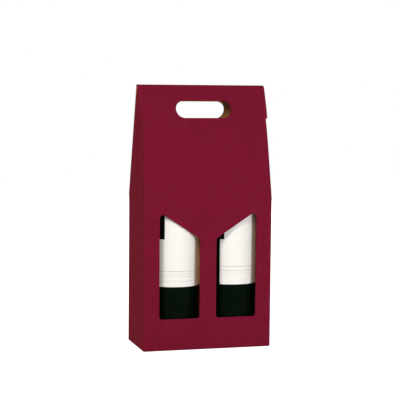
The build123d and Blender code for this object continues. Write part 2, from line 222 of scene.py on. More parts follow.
def rounded(points, radii, arc_step=ARC_STEP):
    """Closed outline of the points, with an arc at each corner that has a radius."""
    result = []
    for index, radius in enumerate(radii):
        corner = Vector(points[index])
        if not radius:
            result.append(tuple(corner))
            continue
        first, _, turn = corner_legs(points[index - 1], corner, points[(index + 1) % len(points)])
        start = corner - first * radius * math.tan(abs(turn) / 2)
        centre = start + Vector((-first.y, first.x)) * math.copysign(radius, turn)
        steps = max(LEAST_ARC_STEPS, math.ceil(abs(turn) / arc_step))
        for angle in evenly(0, turn, steps):
            result.append(tuple(centre + Matrix.Rotation(angle, 2) @ (start - centre)))
    return result


def slot_outline(centre_v, length, height):
    """Hole with full-round ends, in the middle of a panel."""
    low = centre_v - height / 2
    high = centre_v + height / 2
    return rounded(with_mirror([(length / 2, low), (length / 2, high)]), [height / 2 - WELD] * 4)


def crossings(loops, u):
    """Heights at which an upright line at u crosses the outline."""
    found = []
    for loop in loops:
        for (u0, v0), (u1, v1) in zip(loop, loop[1:] + loop[:1]):
            if (u0 <= u) != (u1 <= u):
                found.append(v0 + (v1 - v0) * (u - u0) / (u1 - u0))
    return sorted(found)


def turning_heights(loops):
    """Heights at which an outline turns back or runs upright."""
    found = []
    for loop in loops:
        for before, here, after in zip(loop[-1:] + loop[:-1], loop, loop[1:] + loop[:1]):
            if (here[0] - before[0]) * (after[0] - here[0]) <= 0:
                found.append(here[1])
    return found


def column_places(corners, column):
    """Places of the columns' edges: at every corner, and on an even grid between them."""
    first = math.ceil(corners[0] / column)
    last = math.floor(corners[-1] / column)
    columns = list(corners)
    for u in [i * column for i in range(first, last + 1)]:
        if min(abs(u - corner) for corner in corners) > column * LEAST_COLUMN_SHARE:
            columns.append(u)
    return sorted(columns)


def flat_sheet(loops, rows=(), column=COLUMN):
    """Points, faces and rim edges that fill an outline in narrow upright columns."""
    loops = [[(round(u, DECIMALS), round(v, DECIMALS)) for u, v in loop] for loop in loops]
    columns = column_places(sorted({u for loop in loops for u, v in loop}), column)
    heights = [v for loop in loops for u, v in loop]
    levels = sorted(set(turning_heights(loops)) | set(rows) | {min(heights), max(heights)})
    work = bmesh.new()
    for left, right in zip(columns, columns[1:]):
        lefts = crossings(loops, left + NUDGE)
        rights = crossings(loops, right - NUDGE)
        for k in range(0, min(len(lefts), len(rights)) - 1, 2):
            for low, high in zip(levels, levels[1:]):
                left_low, left_high = [clamp(v, lefts[k], lefts[k + 1]) for v in (low, high)]
                right_low, right_high = [clamp(v, rights[k], rights[k + 1]) for v in (low, high)]
                if max(left_high - left_low, right_high - right_low) < WELD:
                    continue
                ring = [(left, left_low), (right, right_low), (right, right_high), (left, left_high)]
                work.faces.new([work.verts.new((u, v, 0)) for u, v in ring])
    bmesh.ops.remove_doubles(work, verts=work.verts, dist=WELD)
    work.verts.index_update()
    points = [(vert.co.x, vert.co.y) for vert in work.verts]
    faces = [[vert.index for vert in face.verts] for face in work.faces]
    rim = [[vert.index for vert in edge.verts] for edge in work.edges if len(edge.link_faces) == 1]
    work.free()
    return points, faces, rim


class Body:
    """Points, faces and finishes of one piece while it is put together, in millimetres."""

    def __init__(self):
        self.points = []
        self.faces = []
        self.finishes = []

    def add_ply(self, sheet, place, near, far, finishes):
        """One closed layer between two depths, with the finishes of its near side, far side and rim."""
        flat, faces, rim = sheet
        near_finish, far_finish, rim_finish = finishes
        start = len(self.points)
        count = len(flat)
        self.points += [place(u, v, near(u)) for u, v in flat]
        self.points += [place(u, v, far(u)) for u, v in flat]
        for face in faces:
            self.faces.append([start + i for i in face])
            self.finishes.append(near_finish)
            self.faces.append([start + count + i for i in reversed(face)])
            self.finishes.append(far_finish)
        for a, b in rim:
            self.faces.append([start + a, start + b, start + count + b, start + count + a])
            self.finishes.append(rim_finish)

    def build(self, name, materials, weld=False):
        """Makes the object; weld joins the points that lie together."""
        mesh = bpy.data.meshes.new(name)
        mesh.from_pydata([metres(point) for point in self.points], [], self.faces)
        for material in materials:
            mesh.materials.append(material)
        mesh.polygons.foreach_set("material_index", self.finishes)
        work = bmesh.new()
        work.from_mesh(mesh)
        if weld:
            bmesh.ops.remove_doubles(work, verts=work.verts, dist=WELD * MM)
        bmesh.ops.recalc_face_normals(work, faces=work.faces)
        work.to_mesh(mesh)
        work.free()
        mesh.shade_smooth()
        mesh.set_sharp_from_angle(angle=SMOOTH_ANGLE)
        piece = bpy.data.objects.new(name, mesh)
        bpy.context.scene.collection.objects.link(piece)
        return piece


# Materials: a bump's distance is in metres, and a hex code is a colour as it shows on screen
RULE_INK = "4b4636"
RULE_STRENGTH = 0.4

# Places of a colour mix's sockets among its inputs and outputs
MIX_AMOUNT, MIX_FIRST, MIX_SECOND = 0, 6, 7
MIX_RESULT = 2


class Nodes:
    """A material's node tree with short calls to add and link nodes."""

    def __init__(self, name):
        self.material = bpy.data.materials.new(name)
        self.material.use_nodes = True
        self.tree = self.material.node_tree
        self.shader = self.tree.nodes["Principled BSDF"]
        self.place = self.add("ShaderNodeTexCoord").outputs["Object"]

    def add(self, kind, **values):
        node = self.tree.nodes.new(kind)
        for key, value in values.items():
            setattr(node, key, value)
        return node

    def link(self, source, target):
        self.tree.links.new(source, target)

    def fill(self, target, value):
        """Gives a socket a number, a colour or another socket's output."""
        if isinstance(value, (int, float)):
            target.default_value = value
        elif isinstance(value, tuple):
            target.default_value = (*value, 1)
        else:
            self.link(value, target)

    def shade(self, **values):
        """Fills the shader's sockets of these names."""
        for key, value in values.items():
            self.fill(self.shader.inputs[key.replace("_", " ")], value)

    def noise(self, scale, detail, roughness=0.5, stretch=(1, 1, 1)):
        """Noise in object space, stretched along an axis where asked."""
        mapping = self.add("ShaderNodeMapping")
        mapping.inputs["Scale"].default_value = stretch
        self.link(self.place, mapping.inputs["Vector"])
        noise = self.add("ShaderNodeTexNoise")
        noise.inputs["Scale"].default_value = scale
        noise.inputs["Detail"].default_value = detail
        noise.inputs["Roughness"].default_value = roughness
        self.link(mapping.outputs["Vector"], noise.inputs["Vector"])
        return noise.outputs["Fac"]

    def ramp(self, source, *stops):
        """Colour ramp from (position, colour) pairs."""
        ramp = self.add("ShaderNodeValToRGB")
        elements = ramp.color_ramp.elements
        while len(elements) < len(stops):
            elements.new(1)
        for element, (position, colour) in zip(elements, stops):
            element.position = position
            element.color = (*colour, 1)
        self.link(source, ramp.inputs["Fac"])
        return ramp.outputs["Color"]

    def mix(self, amount, first, second, blend="MIX"):
        """Mixes two colours; each is a socket or a colour."""
        node = self.add("ShaderNodeMix", data_type="RGBA", blend_type=blend)
        self.fill(node.inputs[MIX_AMOUNT], amount)
        self.fill(node.inputs[MIX_FIRST], first)
        self.fill(node.inputs[MIX_SECOND], second)
        return node.outputs[MIX_RESULT]

    def maths(self, operation, *values):
        node = self.add("ShaderNodeMath", operation=operation)
        for target, value in zip(node.inputs, values):
            self.fill(target, value)
        return node.outputs[0]

    def bump(self, height, distance, strength):
        node = self.add("ShaderNodeBump")
        node.inputs["Strength"].default_value = strength
        node.inputs["Distance"].default_value = distance
        self.link(height, node.inputs["Height"])
        return node.outputs["Normal"]


def linear(code):
    """Linear colour of a hex code as it shows on screen."""
    values = [int(code[i:i + 2], 16) / 255 for i in (0, 2, 4)]
    return tuple(v / 12.92 if v <= 0.04045 else ((v + 0.055) / 1.055) ** 2.4 for v in values)


def grey(value):
    return (value, value, value)


def printed_liner():
    """Burgundy ink on kraft liner: paper fibre, faint mottling and a soft sheen."""
    nodes = Nodes("burgundy_liner")
    cloud = nodes.noise(scale=28, detail=3)
    base = nodes.ramp(cloud, (0.3, linear("72142b")), (0.7, linear("75162e")))
    fibre = nodes.noise(scale=900, detail=3, roughness=0.6, stretch=(1, 1, 0.25))
    flecks = nodes.ramp(fibre, (0.35, grey(0.86)), (0.65, grey(1.1)))
    nodes.shade(
        Base_Color=nodes.mix(1.0, base, flecks, "MULTIPLY"),
        Roughness=nodes.ramp(fibre, (0.3, grey(0.8)), (0.7, grey(0.9))),
        Normal=nodes.bump(fibre, distance=0.00004, strength=0.5),
        Specular_IOR_Level=0.03,
    )
    return nodes.material


def kraft(name, light, dark):
    """Brown kraft paper with long fibres and darker specks."""
    nodes = Nodes(name)
    cloud = nodes.noise(scale=35, detail=4)
    base = nodes.ramp(cloud, (0.3, linear(dark)), (0.7, linear(light)))
    fibre = nodes.noise(scale=700, detail=4, roughness=0.65, stretch=(1, 1, 0.2))
    flecks = nodes.ramp(fibre, (0.36, (0.8, 0.78, 0.75)), (0.62, grey(1.06)))
    specks = nodes.ramp(nodes.noise(scale=2600, detail=2), (0.66, grey(1)), (0.74, (0.66, 0.6, 0.55)))
    colour = nodes.mix(1.0, base, flecks, "MULTIPLY")
    nodes.shade(
        Base_Color=nodes.mix(1.0, colour, specks, "MULTIPLY"),
        Roughness=0.85,
        Normal=nodes.bump(fibre, distance=0.00005, strength=0.5),
        Specular_IOR_Level=0.06,
    )
    return nodes.material


def glass():
    """Very dark green bottle glass."""
    nodes = Nodes("dark_glass")
    ripple = nodes.noise(scale=22, detail=2)
    nodes.shade(
        Base_Color=nodes.ramp(ripple, (0.3, (0.001, 0.004, 0.0015)), (0.7, (0.002, 0.006, 0.0025))),
        Roughness=0.05,
        Normal=nodes.bump(ripple, distance=0.0004, strength=0.25),
        Specular_IOR_Level=0.012,
    )
    return nodes.material


def wine_liquid():
    nodes = Nodes("red_wine")
    depth = nodes.noise(scale=12, detail=2)
    nodes.shade(
        Base_Color=nodes.ramp(depth, (0.3, (0.02, 0.001, 0.003)), (0.7, (0.035, 0.002, 0.006))),
        Roughness=0.05,
        IOR=1.35,
    )
    return nodes.material


def cork_bark():
    nodes = Nodes("cork_bark")
    grain = nodes.noise(scale=420, detail=6, roughness=0.65)
    tones = [(0.34, linear("5a3a20")), (0.44, linear("b98a5c")), (0.7, linear("d3ab7e"))]
    nodes.shade(
        Base_Color=nodes.ramp(grain, *tones),
        Roughness=0.85,
        Normal=nodes.bump(grain, distance=0.0003, strength=0.6),
    )
    return nodes.material


def capsule_foil():
    nodes = Nodes("capsule_foil")
    grain = nodes.noise(scale=160, detail=3, stretch=(1, 1, 0.1))
    nodes.shade(
        Base_Color=nodes.ramp(grain, (0.3, linear("571022")), (0.7, linear("6a162b"))),
        Metallic=0.55,
        Roughness=nodes.ramp(grain, (0.3, grey(0.3)), (0.7, grey(0.42))),
        Normal=nodes.bump(grain, distance=0.0001, strength=0.3),
    )
    return nodes.material


def label_paper(name, rules):
    """Off-white paper with plain printed rules, each given by its height and half its thickness."""
    nodes = Nodes(name)
    fibre = nodes.noise(scale=1100, detail=4, roughness=0.6)
    paper = nodes.ramp(fibre, (0.3, linear("f1efe6")), (0.7, linear("f8f6ee")))
    split = nodes.add("ShaderNodeSeparateXYZ")
    nodes.link(nodes.place, split.inputs[0])
    ink = 0.0
    for height, half in rules:
        ink = nodes.maths("ADD", ink, nodes.maths("COMPARE", split.outputs["Z"], height * MM, half * MM))
    nodes.shade(
        Base_Color=nodes.mix(nodes.maths("MULTIPLY", ink, RULE_STRENGTH), paper, linear(RULE_INK)),
        Roughness=0.75,
        Normal=nodes.bump(fibre, distance=0.00003, strength=0.5),
        Specular_IOR_Level=0.3,
    )
    return nodes.material


# Each name is the place of that finish in the board's list
PRINT, KRAFT, CUT_PRINT_INK_AND_SHADE, CUT_KRAFT_PAINTED_SHADE = range(4)
BOARD_FINISHES = [
    printed_liner(),
    kraft("kraft_liner", light="d2965e", dark="c0834c"),
    # Cut edge of the printed liner: dark burgundy, partly ink bled over the edge and partly painted shade
    kraft("cut_print_edge_ink_and_shade", light="6a1a2c", dark="5a1524"),
    # Kraft between the liners and on cut edges: kraft brown darkened with painted shade of the flute hollows
    kraft("cut_kraft_edge_painted_shade", light="632f28", dark="4a231e"),
]
GLASS_FINISH = glass()
WINE_FINISH = wine_liquid()
CORK_FINISH = cork_bark()
CAPSULE_FINISH = capsule_foil()

# Pieces of board: u runs across the flutes, v along them, and w from the outside in


def rib(u):
    """How far the liner dips between two flute tips."""
    return RIB_DEPTH * (0.5 - 0.5 * math.cos(2 * math.pi * u / FLUTE_PITCH))


def wave(u):
    """Depth of the middle of the fluted medium."""
    swing = board / 2 - LINER - MEDIUM / 2
    return board / 2 - swing * math.cos(2 * math.pi * u / FLUTE_PITCH)


def board_piece(name, sheet, place, slot="burgundy_board"):
    """Two liners and the fluted medium between them."""
    # Cut edges and the inside of the board take the cut finishes, which carry painted shade
    face, cut = (PRINT, CUT_PRINT_INK_AND_SHADE) if slot == "burgundy_board" else (KRAFT, CUT_KRAFT_PAINTED_SHADE)
    half = MEDIUM / 2
    plies = [
        (rib, lambda u: LINER, (face, CUT_KRAFT_PAINTED_SHADE, cut)),
        (lambda u: wave(u) - half, lambda u: wave(u) + half, (CUT_KRAFT_PAINTED_SHADE, CUT_KRAFT_PAINTED_SHADE, CUT_KRAFT_PAINTED_SHADE)),
        (lambda u: board - LINER, lambda u: board - rib(u), (CUT_KRAFT_PAINTED_SHADE, KRAFT, CUT_KRAFT_PAINTED_SHADE)),
    ]
    body = Body()
    for near, far, finishes in plies:
        body.add_ply(sheet, place, near, far, finishes)
    piece = body.build(name, BOARD_FINISHES)
    return piece


def panel(name, sheet, place, nodes, body, slot="burgundy_board"):
    """Piece of board that stands for solids of the frame and rides on one body."""
    piece = board_piece(name, sheet, place, slot)
    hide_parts(*nodes)
    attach(piece, body)


def crease(name, sheet, place, start, end):
    """Piece of board curved round a crease, baked in place and riding on no body."""
    piece = board_piece(name, sheet, place)
    metres(start)
    metres(end)
    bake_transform(piece)


def across(profile):
    """Places a panel whose section is a path in y and z."""

    def place(u, v, w):
        point, normal = profile.at(v)
        spot = point + normal * w
        return u, spot.x, spot.y

    return place


# Sleeve: glue tab, left side, front, right side and back, seen from above
GLUE_LINE = 0.05
GLUE_TAB_WIDTH = 22.0
GLUE_TAB_BEVEL = 12.0
GLUE_TAB_END_GAP = 9.0
RAW_EDGE_INSET = 0.6
WINDOW_SIDE_MARGIN = 22.0
WINDOW_POST = 23.0
WINDOW_BOTTOM = 43.0
WINDOW_INNER_TOP = 151.5
WINDOW_OUTER_TOP = 188.3
WINDOW_CORNER = 4.5
LEFT_LEG, FRONT_LEG, RIGHT_LEG, BACK_LEG = 1, 2, 3, 4
tab_y = half_depth - board - GLUE_LINE
plan = Path(
    [
        (-half_width + board + GLUE_TAB_WIDTH, tab_y),
        (-half_width, tab_y),
        (-half_width, -half_depth),
        (half_width, -half_depth),
        (half_width, half_depth),
        (-half_width + RAW_EDGE_INSET, half_depth),
    ],
    [CORNER_FOLD] * 4,
)
quarter = FLOOR_FOLD * math.pi / 2


def wall_v(z):
    """Distance up the wall, from the end of its fold under the floor."""
    return z - FLOOR_FOLD + quarter


def sleeve_place(u, v, w):
    point, inward = plan.at(u)
    if v < quarter:
        turn = (quarter - v) / FLOOR_FOLD
        inset = FLOOR_FOLD - (FLOOR_FOLD - w) * math.cos(turn)
        z = FLOOR_FOLD - (FLOOR_FOLD - w) * math.sin(turn)
    else:
        inset = w
        z = v - quarter + FLOOR_FOLD
    spot = point + inward * inset
    return spot.x, spot.y, z


def window_outline(hand):
    """Window in the front wall; hand is 1 on the right and -1 on the left."""
    middle = plan.after_corner(FRONT_LEG, half_width)
    inner = middle + hand * WINDOW_POST / 2
    outer = middle + hand * (half_width - WINDOW_SIDE_MARGIN)
    corners = [
        (inner, wall_v(WINDOW_BOTTOM)),
        (outer, wall_v(WINDOW_BOTTOM)),
        (outer, wall_v(WINDOW_OUTER_TOP)),
        (inner, wall_v(WINDOW_INNER_TOP)),
    ]
    return rounded(corners, [WINDOW_CORNER] * 4)


def sleeve():
    """Walls and glue tab, with a notch along each crease for the strip that bends there."""
    top = wall_v(fold_z)
    low = top - CREASE_REACH
    tab_fold = plan.after_corner(LEFT_LEG, 0)
    tab_end = GLUE_TAB_WIDTH - CORNER_FOLD
    outline = [
        (0, wall_v(GLUE_TAB_END_GAP + GLUE_TAB_BEVEL)),
        (tab_end, wall_v(GLUE_TAB_END_GAP)),
        (tab_fold - CORNER_FOLD, wall_v(FLOOR_FOLD)),
        (tab_fold + CORNER_FOLD, 0),
        (plan.length, 0),
        (plan.length, top),
    ]
    walls = [
        (BACK_LEG, 2 * half_width),
        (RIGHT_LEG, 2 * half_depth),
        (FRONT_LEG, 2 * half_width),
        (LEFT_LEG, tab_y + half_depth),
    ]
    for leg, run in walls:
        far = plan.after_corner(leg, run - flat_inset)
        near = plan.after_corner(leg, flat_inset)
        outline += [(far, top), (far, low), (near, low), (near, top)]
    outline += [
        (tab_fold, top),
        (tab_end, wall_v(fold_z - GLUE_TAB_END_GAP)),
        (0, wall_v(fold_z - GLUE_TAB_END_GAP - GLUE_TAB_BEVEL)),
    ]
    sheet = flat_sheet([outline, window_outline(-1), window_outline(1)], evenly(0, quarter, FOLD_ROWS))
    nodes = ["front_panel", "back_panel", "left_side_panel", "right_side_panel", "glue_tab"]
    panel("carton_sleeve", sheet, sleeve_place, nodes, "sleeve")


sleeve()

# Roof: profiles of the gables seen from the side, y inward and z up
BULGE_ANGLE = math.radians(4.0)
BULGE_START = 72.0
BAND_DROP = 46.0
BAND_STEP = 2.0
CREASE_INSET = 0.3
EDGE_RELIEF = 2.4
GABLE_CORNER = 2.0
GABLE_FOOT_RISE = 1.0
STRIP_STEP_START = 0.2
STRIP_STEP_END = 0.5
RIDGE_GAP = 0.3
RIDGE_WIDTH = 3.6
HOLE_DROP = 35.2
HOLE_LENGTH = 78.5
HOLE_HEIGHT = 25.0
BACK_HOLE_LENGTH = 73.5
ridge_half = (board + RIDGE_GAP + RIDGE_WIDTH) / 2
ridge_front = (-ridge_half, ridge_z - RIDGE_GAP)
ridge_back = (ridge_half, ridge_z)
chord_angle = math.atan2(ridge_front[0] + half_depth, ridge_front[1] - fold_z)
straight_angle = chord_angle - BULGE_ANGLE
rise = Vector((math.sin(straight_angle), math.cos(straight_angle)))
inward = Vector((math.cos(straight_angle), -math.sin(straight_angle)))
bend_start = Vector((-half_depth, fold_z)) + rise * BULGE_START
bend_chord = Vector(ridge_front) - bend_start
bend_radius = bend_chord.length ** 2 / (2 * bend_chord.dot(inward))
bend_centre = bend_start + inward * bend_radius
bend_turn = 2 * math.atan2(bend_chord.dot(inward), bend_chord.dot(rise))
bend_corner = bend_start + rise * bend_radius * math.tan(bend_turn / 2)
front_profile = Path(
    [(-half_depth, fold_z - CREASE_REACH), (-half_depth, fold_z), tuple(bend_corner), ridge_front],
    [GABLE_FOLD, bend_radius - WELD],
    side=-1,
)


def gable_crease(name, profile, y):
    """Strip that bends between the sleeve and a gable, and widens above the crease."""
    low_half = half_width - flat_inset - CREASE_GAP
    high_half = half_width - CREASE_INSET
    reach = 2 * CREASE_REACH
    right = [
        (low_half, 0),
        (low_half, CREASE_REACH + STRIP_STEP_START),
        (high_half, CREASE_REACH + STRIP_STEP_END),
        (high_half, reach),
    ]
    sheet = flat_sheet([with_mirror(right)], evenly(0, reach, CREASE_ROWS))
    start = (0, y, fold_z - CREASE_REACH)
    end = (0, y, fold_z + CREASE_REACH)
    crease(name, sheet, across(profile), start, end)


def front_gable():
    top = front_profile.length
    band = front_profile.height_station(ridge_z - BAND_DROP)
    low = 2 * CREASE_REACH
    right = [
        (half_width - CREASE_INSET, low),
        (half_width - EDGE_RELIEF, band),
        (half_width, band + BAND_STEP),
        (half_width, top),
    ]
    outline = rounded(with_mirror(right), [0, 0, 0, GABLE_CORNER, GABLE_CORNER, 0, 0, 0])
    hole = slot_outline(top - HOLE_DROP, HOLE_LENGTH, HOLE_HEIGHT)
    rows = front_profile.stations(low, top) + evenly(low, top, BOW_ROWS)
    sheet = flat_sheet([outline, hole], rows)
    panel("front_gable_board", sheet, across(front_profile), ["front_gable"], "front_gable")


front_gable()
gable_crease("front_crease", front_profile, -half_depth)

# Back gable, the strip along the ridge and the tuck flap are one run of board
TUCK_DEPTH = 58.0
TUCK_CLEARANCE = 0.3
TUCK_TAPER = 4.0
TUCK_CORNER = 8.0
TUCK_BLEND = 1.6
TUCK_STEP_START = 0.4
TUCK_STEP_RUN = 0.6
RIDGE_LEG, TUCK_LEG = 2, 3
tuck_half_width = node_box("tuck_flap")[1][0]
tuck_fold = (joint_place("tuck_flap_fold")[1], ridge_z)


def circle_crossing(centre, radius, other, other_radius):
    """The lower of the two points where two circles cross."""
    link = other - centre
    along = (radius ** 2 - other_radius ** 2 + link.length ** 2) / (2 * link.length)
    side = math.sqrt(radius ** 2 - along ** 2)
    unit = link.normalized()
    foot = centre + unit * along
    swing = Vector((-unit.y, unit.x)) * side
    return min(foot + swing, foot - swing, key=lambda point: point.y)


tuck_end = circle_crossing(bend_centre, bend_radius - board - TUCK_CLEARANCE, Vector(tuck_fold), TUCK_DEPTH)
back_profile = Path(
    [
        (half_depth, fold_z - CREASE_REACH),
        (half_depth, fold_z),
        ridge_back,
        tuck_fold,
        tuple(tuck_end),
    ],
    [GABLE_FOLD, RIDGE_FOLD, RIDGE_FOLD],
)
tuck_crease_low = back_profile.after_corner(RIDGE_LEG, RIDGE_WIDTH) - TUCK_BLEND
tuck_crease_high = back_profile.after_corner(TUCK_LEG, TUCK_BLEND)


def back_gable():
    low = 2 * CREASE_REACH
    high = tuck_crease_low
    right = [(half_width - CREASE_INSET, low), (half_width, low + GABLE_FOOT_RISE), (half_width, high)]
    hole = slot_outline(back_profile.after_corner(RIDGE_LEG, -HOLE_DROP), BACK_HOLE_LENGTH, HOLE_HEIGHT)
    sheet = flat_sheet([with_mirror(right), hole], back_profile.stations(low, high))
    panel("back_gable_board", sheet, across(back_profile), ["back_gable"], "back_gable")


def tuck_flap():
    low = tuck_crease_high
    high = back_profile.length
    right = [(tuck_half_width, low), (tuck_half_width - TUCK_TAPER, high)]
    outline = rounded(with_mirror(right), [0, TUCK_CORNER, TUCK_CORNER, 0])
    hole = slot_outline(back_profile.after_corner(TUCK_LEG, HOLE_DROP), HOLE_LENGTH, HOLE_HEIGHT)
    sheet = flat_sheet([outline, hole], back_profile.stations(low, high))
    panel("tuck_flap_board", sheet, across(back_profile), ["tuck_flap"], "tuck_flap")


def tuck_crease():
    low = tuck_crease_low
    high = tuck_crease_high
    step = low + TUCK_STEP_START
    right = [
        (half_width, low),
        (half_width, step),
        (tuck_half_width, step + TUCK_STEP_RUN),
        (tuck_half_width, high),
    ]
    sheet = flat_sheet([with_mirror(right)], back_profile.stations(low, high))
    start = (0, *back_profile.at(low)[0])
    end = (0, *back_profile.at(high)[0])
    crease("tuck_crease", sheet, across(back_profile), start, end)


back_gable()
tuck_flap()
tuck_crease()
gable_crease("back_crease", back_profile, half_depth)

# Side flaps between the gables
SIDE_FLAP_DROP = 5.5
SIDE_FLAP_CLEARANCE = 0.4
SIDE_FLAP_CORNER = 1.5
FOOT_SEARCH = 5.0
FOOT_SEARCH_STEPS = 100
back_lean = math.atan2(half_depth - ridge_back[0], ridge_z - fold_z)
side_flap_slope = EDGE_RELIEF / (ridge_z - BAND_DROP - fold_z)
crease_foot = fold_z - CREASE_REACH
flap_foot = fold_z + CREASE_REACH


def side_place(hand):
    """Places a side panel from y and the height. Its front edge leans in above the crease."""

    def place(u, v, w):
        risen = max(0, v - fold_z)
        share = risen / (ridge_z - fold_z)
        front = -half_depth + share * (ridge_front[0] + half_depth)
        back = half_depth + share * (ridge_back[0] - half_depth)
        towards_front = clamp((back - u) / (back - front), 0, 1)
        return hand * (half_width - w - side_flap_slope * risen * towards_front), u, v

    return place


def side_flap(side, hand):
    """Flap between the insides of the two gables, from just above its crease."""
    top_z = ridge_z - SIDE_FLAP_DROP
    inset = board + SIDE_FLAP_CLEARANCE
    behind_back = board / math.cos(back_lean) + SIDE_FLAP_CLEARANCE

    def on_back(z):
        return half_depth - (z - fold_z) * math.tan(back_lean) - behind_back, z

    def on_front(v):
        point, normal = front_profile.at(v)
        return tuple(point + normal * inset)

    low_v = 2 * CREASE_REACH
    search = evenly(low_v, low_v + FOOT_SEARCH, FOOT_SEARCH_STEPS)
    foot_v = next(v for v in search if on_front(v)[1] >= flap_foot)
    top_v = front_profile.height_station(top_z, inset)
    front = [on_front(v) for v in evenly(foot_v, top_v, BOW_ROWS)]
    outline = [on_back(flap_foot), on_back(top_z)] + front[::-1]
    radii = [0, SIDE_FLAP_CORNER, SIDE_FLAP_CORNER] + [0] * BOW_ROWS
    sheet = flat_sheet([rounded(outline, radii)])
    flap = side + "_side_flap"
    panel(flap + "_board", sheet, side_place(hand), [flap], flap)


def side_crease(side, hand):
    """Strip that bends between a side wall and its flap; on the left it ends at the glue tab."""
    front = -half_depth + flat_inset + CREASE_GAP
    back = (half_depth if hand > 0 else tab_y) - flat_inset - CREASE_GAP
    outline = [(front, crease_foot), (back, crease_foot), (back, flap_foot), (front, flap_foot)]
    sheet = flat_sheet([outline], evenly(crease_foot, flap_foot, CREASE_ROWS))
    start = (hand * half_width, 0, crease_foot)
    end = (hand * half_width, 0, flap_foot)
    crease(side + "_side_crease", sheet, side_place(hand), start, end)


for side, hand in (("left", -1), ("right", 1)):
    side_flap(side, hand)
    side_crease(side, hand)

# Divider: a foot behind the centre post, a web between the bottles and a foot on the back wall
DIVIDER_INNER_FOLD = 2.0
DIVIDER_OUTER_FOLD = 0.5


def divider():
    low, high = node_box("divider")
    web = board / 2
    back = high[1] - board
    route = Path(
        [(low[0], low[1]), (web, low[1]), (web, back), (high[0], back)],
        [DIVIDER_INNER_FOLD, DIVIDER_OUTER_FOLD],
    )

    def place(u, v, w):
        point, normal = route.at(u)
        spot = point + normal * w
        return spot.x, spot.y, v

    outline = [(0, low[2]), (route.length, low[2]), (route.length, high[2]), (0, high[2])]
    panel("divider_board", flat_sheet([outline]), place, ["divider"], "sleeve", slot="kraft_board")


divider()

# Floor: each flap leaves its wall's fold and climbs over the flaps below it
LOCK_WIDTH = 86.0
LOCK_CLEARANCE = 1.0
LOCK_CORNER = 1.0
FRONT_FLAP_SHOULDER = 24.0
TONGUE_RISE_RUN = 14.0
TONGUE_LAND = 14.0
TONGUE_FOLD_IN = 3.0
TONGUE_FOLD_OUT = 1.5
NOTCH_DEPTH = 38.0
NOTCH_CORNER = 3.0
FLAP_CORNER = 5.0
SIDE_BEVEL = 30.0
CLIMB_RUN = 6.0
ROOT_MARGIN = 2.0


def climbed(distance, height):
    """Rise of a floor flap at a distance from its fold."""
    share = clamp(distance / CLIMB_RUN, 0, 1)
    return height * share * share * (3 - 2 * share)


def floor_panel(name, node, outline, radii, place, rows):
    panel(name, flat_sheet([rounded(outline, radii)], rows), place, [node], "sleeve")


def front_floor_flap():
    low, high = node_box("bottom_front_flap")
    fold_y = -half_depth + FLOOR_FOLD
    land_y = high[1] - TONGUE_LAND
    flat_end = land_y - TONGUE_RISE_RUN
    climb = high[2] - board
    route = Path(
        [(fold_y, 0), (flat_end, 0), (land_y, climb), (high[1], climb)],
        [TONGUE_FOLD_IN, TONGUE_FOLD_OUT],
    )
    wide = high[0]
    narrow = LOCK_WIDTH / 2 - LOCK_CLEARANCE
    shoulder = low[1] + FRONT_FLAP_SHOULDER - fold_y
    waist = flat_end - fold_y
    end = route.length
    outline = with_mirror([(wide, CREASE_GAP), (wide, shoulder), (narrow, waist), (narrow, end)])
    radii = [0, FLAP_CORNER, 0, FLAP_CORNER, FLAP_CORNER, 0, FLAP_CORNER, 0]
    rows = route.stations(0, end)
    floor_panel("front_floor_flap", "bottom_front_flap", outline, radii, across(route), rows)


def back_floor_flap():
    low, high = node_box("bottom_back_flap")
    fold_y = half_depth - FLOOR_FOLD
    free = fold_y - low[1]
    notch = free - NOTCH_DEPTH
    wide = high[0]
    half_lock = LOCK_WIDTH / 2
    root = -node_box("bottom_left_flap")[1][0] - ROOT_MARGIN
    right = [
        (root, CREASE_GAP),
        (root, CLIMB_RUN),
        (wide, CLIMB_RUN),
        (wide, free),
        (half_lock, free),
        (half_lock, notch),
    ]
    radii = [0, 0, 0, FLAP_CORNER, LOCK_CORNER, NOTCH_CORNER]

    def place(u, v, w):
        return u, fold_y - v, climbed(v, low[2]) + w

    rows = evenly(0, CLIMB_RUN, CLIMB_ROWS)
    floor_panel("back_floor_flap", "bottom_back_flap", with_mirror(right), radii + radii[::-1], place, rows)


def side_floor_flap(side, hand):
    low, high = node_box("bottom_left_flap")
    fold_x = half_width - FLOOR_FOLD
    free = fold_x + high[0]
    reach = high[1]
    root_low = -reach + FRONT_FLAP_SHOULDER + 2 * ROOT_MARGIN
    root_high = reach - ROOT_MARGIN
    bevel = SIDE_BEVEL * CLIMB_RUN / free
    outline = [
        (root_low, CREASE_GAP),
        (root_high, CREASE_GAP),
        (root_high, CLIMB_RUN),
        (reach, CLIMB_RUN),
        (reach - board, free),
        (-reach + SIDE_BEVEL, free),
        (-reach + bevel, CLIMB_RUN),
        (root_low, CLIMB_RUN),
    ]
    radii = [0, 0, 0, 0, FLAP_CORNER, FLAP_CORNER, 0, 0]

    def place(u, v, w):
        return hand * (fold_x - v), u, climbed(v, low[2]) + w

    rows = evenly(0, CLIMB_RUN, CLIMB_ROWS)
    floor_panel(side + "_floor_flap", "bottom_" + side + "_flap", outline, radii, place, rows)


front_floor_flap()
back_floor_flap()
side_floor_flap("left", -1)
side_floor_flap("right", 1)

